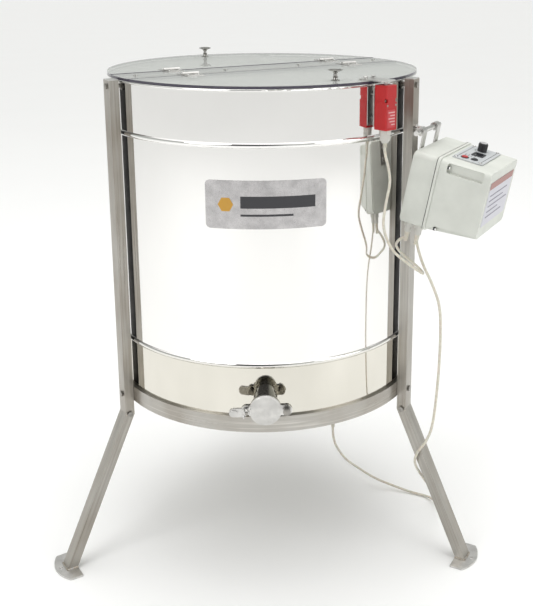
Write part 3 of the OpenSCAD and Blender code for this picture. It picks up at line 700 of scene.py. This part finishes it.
def make_drum_seam():
    """The drum's long weld, ground nearly flush, at the back."""
    bm = bmesh.new()
    bearing, foot_z, ripple, count = 150, 0.388, 0.004, 159
    points = [polar(bearing, DRUM_R + 0.0001, foot_z + ripple * k) for k in range(count)]
    add_sweep(bm, points, lambda i: 0.0009 + 0.0002 * (i % 2), 6)
    piece("drum_seam", bm, WELD)


make_bolt_heads()
make_welds()
make_plate_print()
make_drum_seam()


# ---------------------------------------------------------------- gate

PIVOT_FLATS, STUD_FLATS = 0.013, 0.011


def make_gate_details():
    """The blade's shallow dome and finger grip, and the bolt heads before and behind the flange."""
    front = Vector((0, -1, 0))
    bm = bmesh.new()
    place = pointing(Vector((0, -GATE_FRONT, GATE_Z)), front)
    add_lathe(bm, place, ((0, -0.0002), (0.0285, -0.0002), (0.0280, 0.0003), (0.0220, 0.0007),
                          (0.0110, 0.0010), (0, 0.0011)), 64)
    piece("blade_dome", bm, SATIN, "gate")

    bm = bmesh.new()
    grip = pointing(Vector((-0.061, -GATE_FRONT, GATE_Z - 0.004)), front)
    add_prism(bm, grip, rounded(0.014, 0.012, 0.0058), -0.0002, 0.0022, 0.0006)
    piece("blade_grip", bm, SATIN, "gate")

    bm = bmesh.new()
    add_hex_bolt(bm, Vector((PIVOT_X, -GATE_FRONT - 0.0055, GATE_Z)), front, PIVOT_FLATS, 0.0042,
                 False)
    for x, flats in ((PIVOT_X, PIVOT_FLATS), (STUD_X, STUD_FLATS)):
        back = Vector((x, -GATE_FRONT + 0.0127, GATE_Z))
        add_hex_bolt(bm, back, -front, flats, 0.0040, False)
    piece("gate_bolt_heads", bm, DULL)


def make_wing_nut():
    """A turned hub with two swept wings."""
    bm = bmesh.new()
    place = (Matrix.Translation((STUD_X, -GATE_FRONT - 0.0006, GATE_Z))
             @ Matrix.Rotation(radians(90), 4, "X") @ Matrix.Rotation(radians(60), 4, "Z"))
    add_lathe(bm, place, ((0.0031, 0), (0.0080, 0), (0.0080, 0.0014), (0.0058, 0.0026),
                          (0.0050, 0.0085), (0.0044, 0.0094), (0.0031, 0.0094)), 32)
    for side in (-1, 1):
        base = place @ Matrix.Rotation(pi / 2 * (1 - side), 4, "Z")
        outline = ((0.0040, 0.0030), (0.0080, 0.0034), (0.0124, 0.0052), (0.0138, 0.0078),
                   (0.0128, 0.0096), (0.0102, 0.0098), (0.0068, 0.0078), (0.0040, 0.0072))
        wing = base @ Matrix.Rotation(pi / 2, 4, "X")
        add_prism(bm, wing, outline, -0.0013, 0.0013, 0.0005)
    nut = piece("wing_nut", bm, BRIGHT, "gate_nut")
    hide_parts("thumb_nut")


make_gate_details()
make_wing_nut()


# ---------------------------------------------------------------- interlock switch

HEAD_SCREW = ((0, 0), (0.0027, 0), (0.0027, 0.0012), (0.0020, 0.0019), (0, 0.0020))
BODY_SCREW = ((0, 0), (0.0021, 0), (0.0021, 0.0005), (0.0012, 0.0009), (0, 0.0009))
GLAND_RIBS = 20


def make_switch_details():
    """The switch's label with plain bars, its screws and grooves, and its gland's ribs."""
    face = around(SWITCH_AZ)
    out = face @ Vector((0, -1, 0))
    front = SWITCH_R + SWITCH_HALF

    def on_front(t, sunk, z):
        return pointing(face @ Vector((t, -front + sunk, z)), out)

    bm = bmesh.new()
    add_prism(bm, on_front(0, 0.0006, 0.965), rounded(0.0225, 0.034, 0.0015),
              -0.0001, 0.0004, 0.0001)
    piece("switch_label", bm, CRIMSON)

    bm = bmesh.new()
    for k, width in enumerate((0.018, 0.013, 0.018, 0.015, 0.010)):
        bar = on_front(0.0095 - width / 2, 0.0003, 0.977 - 0.0058 * k)
        add_prism(bm, bar, rounded(width, 0.0021, 0.0006, 2), 0, 0.0003)
    piece("switch_label_print", bm, ROSE)

    bm = bmesh.new()
    for t, sunk, z, profile in ((0.0118, 0.0055, 0.9995, HEAD_SCREW),
                                (0.0115, 0.0003, 0.9905, BODY_SCREW)):
        for side in (-t, t):
            add_lathe(bm, on_front(side, sunk, z), profile, 20)
    piece("switch_screws", bm, DULL)

    bm = bmesh.new()
    for z in (1.0045, 1.0085):
        add_prism(bm, on_front(0, 0.0001, z), rounded(0.017, 0.0014, 0.0006, 2), -0.0004, 0.0004)
    piece("switch_ribs", bm, RED)

    bm = bmesh.new()
    gland = face @ Matrix.Translation((0, -SWITCH_R, 0.9225))
    for k in range(GLAND_RIBS):
        a = 2 * pi * k / GLAND_RIBS
        rib = gland @ Matrix.Translation((0.0096 * cos(a), 0.0096 * sin(a), 0))
        add_lathe(bm, rib, ((0, 0), (0.0007, 0.0004), (0.0007, 0.0096), (0, 0.010)), 8)
    piece("switch_gland_ribs", bm, GLAND)


make_switch_details()


# ---------------------------------------------------------------- lid

LEAF_SCREW = ((0, 0), (0.0032, 0), (0.0028, 0.0009), (0.0014, 0.0013), (0, 0.0013))


def add_leaf_screws(bm, side, n, z):
    """Adds the screws of one side's two hinge leaves, n from the strip's middle line."""
    for u in (-LEAF_U, LEAF_U):
        for x in (-0.011, 0.011):
            add_lathe(bm, Matrix.Translation(side @ Vector((u + x, -n, z))), LEAF_SCREW, 24)


def make_lid_details():
    """Hinge screws, thin dark strips along the seams as painted shade of the leaves' edges there,
    and the key's bolts.
    """
    bm = bmesh.new()
    for side in LID_SIDES.values():
        add_leaf_screws(bm, side, 0.029, 1.0362)
    piece("fixed_leaf_screws", bm, CHROMED)
    for body, side in LID_SIDES.items():
        bm = bmesh.new()
        add_leaf_screws(bm, side, 0.061, 1.0365)
        piece(f"{body}_leaf_screws", bm, CHROMED, body)
    # Thin dark strips along the seams: painted shade where the panels' edges meet the strip.
    for body, width in (("lid_front", 0.0008), ("lid_rear", 0.0030)):
        bm = bmesh.new()
        edge = LID_SIDES[body] @ Matrix.Translation((0, -LEAF_EDGE - width / 2, 0))
        add_prism(bm, edge, rounded(0.647, width, 0.0003, 2), 1.0342, 1.0346)
        piece(f"{body}_edge", bm, LID_SEAM_SHADE, body)
    bm = bmesh.new()
    for t in (-0.011, 0.011):
        add_hex_bolt(bm, polar(SWITCH_AZ, 0.308, 1.0388, t), (0, 0, 1), 0.0075, 0.0030, False)
    piece("key_bolt_heads", bm, BRIGHT, "lid_front")


make_lid_details()


# ---------------------------------------------------------------- control box

def on_face(x, n, z, normal):
    """A frame on one of the box's faces, in the box's own directions."""
    return BOX @ pointing(Vector((x, -n, z)), normal)


PRINT_H = 0.00025            # thickness of the print on the panel
PANEL_X = 0.024              # the panel's middle
PANEL_SCREW_X = 0.056


def make_panel_details():
    """The panel's plain print, its screws, the rims of window and buttons, and the knob's cap."""
    top = Matrix.Translation((0, 0, COVER_TOP + 0.0018))

    def spot(x, n):
        return BOX @ top @ Matrix.Translation((x, -n, 0))

    bm = bmesh.new()
    for k in range(11):
        a = radians(-135 + 27 * k)
        tick = spot(KNOB_AT[0] + 0.0135 * sin(a), KNOB_AT[1] - 0.0135 * cos(a))
        tick = tick @ Matrix.Rotation(a, 4, "Z")
        add_prism(bm, tick, rounded(0.0009, 0.0036, 0.0003, 2), 0, PRINT_H)
    for k in range(4):
        add_prism(bm, spot(0.004 + 0.0002 * k, 0.0785 + 0.006 * k),
                  rounded(0.012 - 0.002 * (k % 2), 0.0012, 0.0004, 2), 0, PRINT_H)
    add_prism(bm, spot(PANEL_X, 0.1195), rounded(0.100, 0.0010, 0.0003, 2), 0, PRINT_H)
    add_prism(bm, spot(PANEL_X, 0.0705), rounded(0.100, 0.0010, 0.0003, 2), 0, PRINT_H)
    piece("panel_print", bm, INK, "control_box")

    bm = bmesh.new()
    add_rim(bm, spot(0.025, 0.098), rounded(0.028, 0.024, 0.003),
            rounded(0.0214, 0.0174, 0.0012), (0.0, 0.0012, 0.0016, 0.0002))
    piece("display_bezel", bm, BLACK, "control_box")

    for name, x, n, width, depth in BUTTONS:
        bm = bmesh.new()
        outer = rounded(width + 0.0048, depth + 0.0048, (depth + 0.0047) / 2)
        inner = rounded(width + 0.0008, depth + 0.0008, (depth + 0.0007) / 2)
        add_rim(bm, spot(x, n), outer, inner, (0.0, 0.0007, 0.0011, 0.0001))
        piece(f"{name}_bezel", bm, DARK_GREY, "control_box")

    bm = bmesh.new()
    cap = BOX @ Matrix.Translation((KNOB_AT[0], -KNOB_AT[1], COVER_TOP + 0.0024 + 0.0170))
    add_lathe(bm, cap, ((0, 0), (0.0074, 0), (0.0070, 0.0006), (0, 0.0008)), 36)
    piece("knob_cap", bm, ALLOY, "knob")
    bm = bmesh.new()
    add_prism(bm, cap @ Matrix.Translation((0, -0.0040, 0.0006)),
              rounded(0.0011, 0.0052, 0.0004, 2), 0, 0.0005)
    piece("knob_pointer", bm, PALE_INK, "knob")

    bm = bmesh.new()
    for x in (PANEL_X - PANEL_SCREW_X, PANEL_X + PANEL_SCREW_X):
        for n in (0.070, 0.120):
            add_lathe(bm, spot(x, n), ((0, 0), (0.0036, 0), (0.0034, 0.0012), (0.0018, 0.0021),
                                       (0, 0.0022)), 24)
    piece("panel_screw_heads", bm, CHROMED, "control_box")


def make_front_label():
    """A blank label on the front: a coloured bar over a plain field with a few plain lines."""
    face = on_face(BOX_X0 + BOX_W / 2, BOX_D + 0.0001, 0.080, (0, -1, 0))
    fields = (("front_label", LILAC, 0.090, 0.0, 0.0),
              ("front_label_bar", BRICK, 0.014, 0.038, 0.0003))
    for name, material, height, rise, lift in fields:
        bm = bmesh.new()
        add_prism(bm, face, rounded(0.150, height, 0.003, centre=(0, rise)), lift, lift + 0.0005)
        piece(name, bm, material, "control_box")
    bm = bmesh.new()
    for k, width in enumerate((0.110, 0.090, 0.120, 0.070, 0.100)):
        centre = (-0.060 + width / 2, 0.016 - 0.011 * k)
        add_prism(bm, face, rounded(width, 0.0022, 0.001, 2, centre), 0.0004, 0.0009)
    piece("front_label_lines", bm, GREY_INK, "control_box")


def make_box_seam():
    """A dark tube round the seam between the rear shell and the cover: painted shade of the gap
    there.
    """
    bm = bmesh.new()
    outline = rounded(BOX_W + 0.0004, BOX_H + 0.0004, 0.0102, 8,
                      (BOX_X0 + BOX_W / 2, BOX_H / 2))
    points = [BOX @ Vector((x, -SEAM_N - 0.00075, z)) for x, z in outline]
    add_sweep(bm, points, lambda i: 0.0007, 8, closed=True)
    piece("box_seam_shade", bm, RUBBER, "control_box")


def make_cover_screws():
    """Screws in the pockets of the cover."""
    bm = bmesh.new()
    for x in (BOX_X0 + 0.0055, BOX_X0 + BOX_W - 0.0055):
        for z in (0.133, 0.007):
            add_lathe(bm, on_face(x, 0.0758, z, (0, -1, 0)),
                      ((0, 0), (0.0034, 0), (0.0034, 0.0012), (0.0020, 0.0020), (0, 0.0012)), 20)
    piece("cover_screw_heads", bm, CHROMED, "control_box")


def make_hook_bolts():
    """Bolt heads on the box's back, where its two hooks are fixed."""
    bm = bmesh.new()
    for x in (-0.033, 0.043):
        for z in (0.108, 0.132):
            add_hex_bolt(bm, BOX @ Vector((x, 0.0050, z)), BOX.to_3x3() @ Vector((0, 1, 0)),
                         0.010, 0.0030, False)
    piece("hook_bolt_heads", bm, BRIGHT, "control_box")


make_panel_details()
make_front_label()
make_box_seam()
make_cover_screws()
make_hook_bolts()


# ---------------------------------------------------------------- motor

def make_motor_details():
    """Guard rings under the fan, four tie bolts and a blank rating plate."""
    bm = bmesh.new()
    for ring in range(3):
        radius = 0.012 + 0.009 * ring
        points = [Vector((MOTOR_X + x, y, 0.2355)) for x, y in polygon(48, radius)]
        add_sweep(bm, points, lambda i: 0.0011, 8, closed=True)
    piece("fan_guard", bm, SATIN)
    bm = bmesh.new()
    for k in range(4):
        a = radians(45 + 90 * k)
        add_hex_bolt(bm, Vector((MOTOR_X + 0.052 * cos(a), 0.052 * sin(a), 0.3660)), (0, 0, -1),
                     0.008, 0.0040)
    piece("motor_bolts", bm, BRIGHT)
    bm = bmesh.new()
    plate = pointing(Vector((MOTOR_X, -0.0751, 0.292)), (0, -1, 0))
    add_prism(bm, plate, rounded(0.034, 0.022, 0.002), 0, 0.0005)
    piece("motor_plate", bm, ALLOY)


make_motor_details()


# ---------------------------------------------------------------- stage

def make_floor():
    """A plain pale floor that runs past the horizon."""
    bm = bmesh.new()
    bmesh.ops.create_grid(bm, x_segments=1, y_segments=1, size=60)
    mesh = bpy.data.meshes.new("floor")
    bm.to_mesh(mesh)
    bm.free()
    floor = bpy.data.objects.new("floor", mesh)
    bpy.context.collection.objects.link(floor)
    s = Surface("floor_paint", rough=0.9)
    tone = s.noise((1.5, 1.5, 1.5), 2)
    s.colour(s.mix(tone, (0.93, 0.93, 0.925), (0.95, 0.95, 0.945)))
    mesh.materials.append(s.material)


def make_world():
    """A studio with a bright ceiling, pale greenish walls and a dark bay on the camera's side."""
    world = bpy.data.worlds.new("studio")
    world.use_nodes = True
    nodes, links = world.node_tree.nodes, world.node_tree.links
    background = nodes["Background"]
    background.inputs["Strength"].default_value = 1.0
    coord = nodes.new("ShaderNodeTexCoord")
    split = nodes.new("ShaderNodeSeparateXYZ")
    ramp = nodes.new("ShaderNodeValToRGB")
    stops = ((0.0, (0.98, 0.98, 0.97)), (0.05, (0.74, 0.76, 0.73)), (0.25, (0.54, 0.565, 0.54)),
             (0.50, (0.36, 0.36, 0.35)), (0.74, (1.0, 1.0, 0.99)))
    set_stops(ramp, stops)
    links.new(coord.outputs["Generated"], split.inputs["Vector"])
    links.new(split.outputs["Z"], ramp.inputs["Fac"])

    bay = nodes.new("ShaderNodeVectorMath")
    bay.operation = "DOT_PRODUCT"
    links.new(coord.outputs["Generated"], bay.inputs[0])
    bay.inputs[1].default_value = Vector((-0.22, -0.87, 0.47)).normalized()
    edge = nodes.new("ShaderNodeMapRange")
    edge.inputs["From Min"].default_value = cos(radians(34))
    edge.inputs["From Max"].default_value = cos(radians(24))
    links.new(bay.outputs["Value"], edge.inputs["Value"])
    mix = nodes.new("ShaderNodeMix")
    mix.data_type = "RGBA"
    links.new(edge.outputs["Result"], mix.inputs["Factor"])
    links.new(ramp.outputs["Color"], mix.inputs["A"])
    mix.inputs["B"].default_value = (0.10, 0.10, 0.105, 1.0)
    scale = nodes.new("ShaderNodeMapRange")
    scale.inputs["From Min"].default_value = 0.55
    scale.inputs["From Max"].default_value = 0.85
    scale.inputs["To Min"].default_value = 1.0
    scale.inputs["To Max"].default_value = 1.45
    links.new(split.outputs["Z"], scale.inputs["Value"])
    links.new(mix.outputs["Result"], background.inputs["Color"])
    links.new(scale.outputs["Result"], background.inputs["Strength"])
    bpy.context.scene.world = world


def area_light(name, location, target, size, power):
    lamp = bpy.data.lights.new(name, "AREA")
    lamp.shape = "DISK"
    lamp.size = size
    lamp.energy = power
    obj = bpy.data.objects.new(name, lamp)
    bpy.context.collection.objects.link(obj)
    obj.location = location
    obj.rotation_euler = (Vector(target) - Vector(location)).to_track_quat("-Z", "Y").to_euler()


def make_camera():
    """The photographer's place, with the lens shifted to keep the drum upright."""
    cam = bpy.data.objects.new("camera", bpy.data.cameras.new("camera"))
    bpy.context.collection.objects.link(cam)
    cam.location = (0.017, -2.051, 1.253)
    cam.rotation_euler = (radians(90 - 13.91), 0, radians(-2.38))
    cam.data.lens = 56.7
    cam.data.shift_x = -0.073
    cam.data.shift_y = -0.173
    bpy.context.scene.camera = cam


make_floor()
make_world()
make_camera()
area_light("key", (-2.4, -2.6, 3.2), (0, 0, 0.6), 2.4, 48)
area_light("fill", (3.0, -2.0, 2.2), (0.2, 0, 0.6), 2.6, 26)
area_light("top", (0.2, 0.6, 3.6), (0, 0, 0.8), 3.0, 24)
bpy.context.scene.view_settings.view_transform = "Standard"
